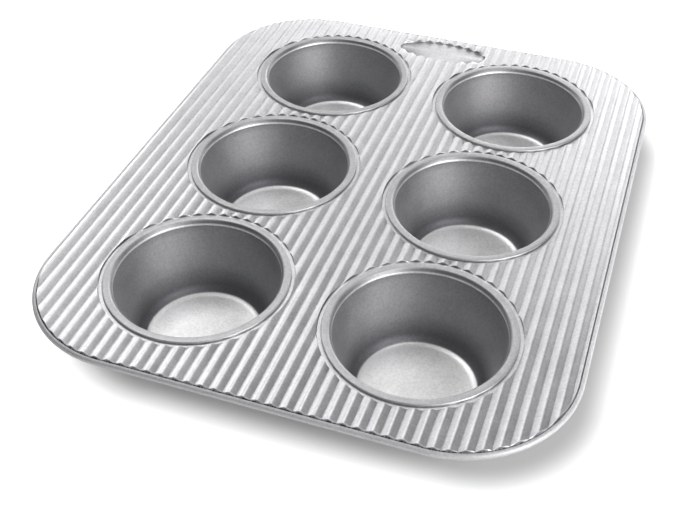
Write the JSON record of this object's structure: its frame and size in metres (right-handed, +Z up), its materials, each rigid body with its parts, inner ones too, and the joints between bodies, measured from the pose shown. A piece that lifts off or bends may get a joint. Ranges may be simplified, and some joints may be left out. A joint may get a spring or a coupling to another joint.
{
  "type": "muffin pan",
  "caption": "Rectangular muffin pan: drawn round cups locked into a fluted sheet-steel deck with rounded corners and a wire-rolled hem, for baking muffins.",
  "frame": {"origin": "under the middle of the pan, in the plane of the cup undersides that it stands on", "axes": "+Z up out of the cups, +Y along the longer side towards the plain oval pad, +X to the right across the shorter side"},
  "size_m": [0.2264, 0.2794, 0.0345],
  "materials": {
    "deck_steel": "fluted aluminised steel with a satin bake-release glaze",
    "cup_steel": "drawn aluminised steel with a satin bake-release glaze",
    "wire_steel": "bright drawn steel wire, hidden in the hem"
  },
  "bodies": {
    "root": {"deck_plate": "deck_steel", "rim_wire": "wire_steel", "cup_front_left": "cup_steel", "cup_front_right": "cup_steel", "cup_middle_left": "cup_steel", "cup_middle_right": "cup_steel", "cup_back_left": "cup_steel", "cup_back_right": "cup_steel"}
  },
  "joints": []
}
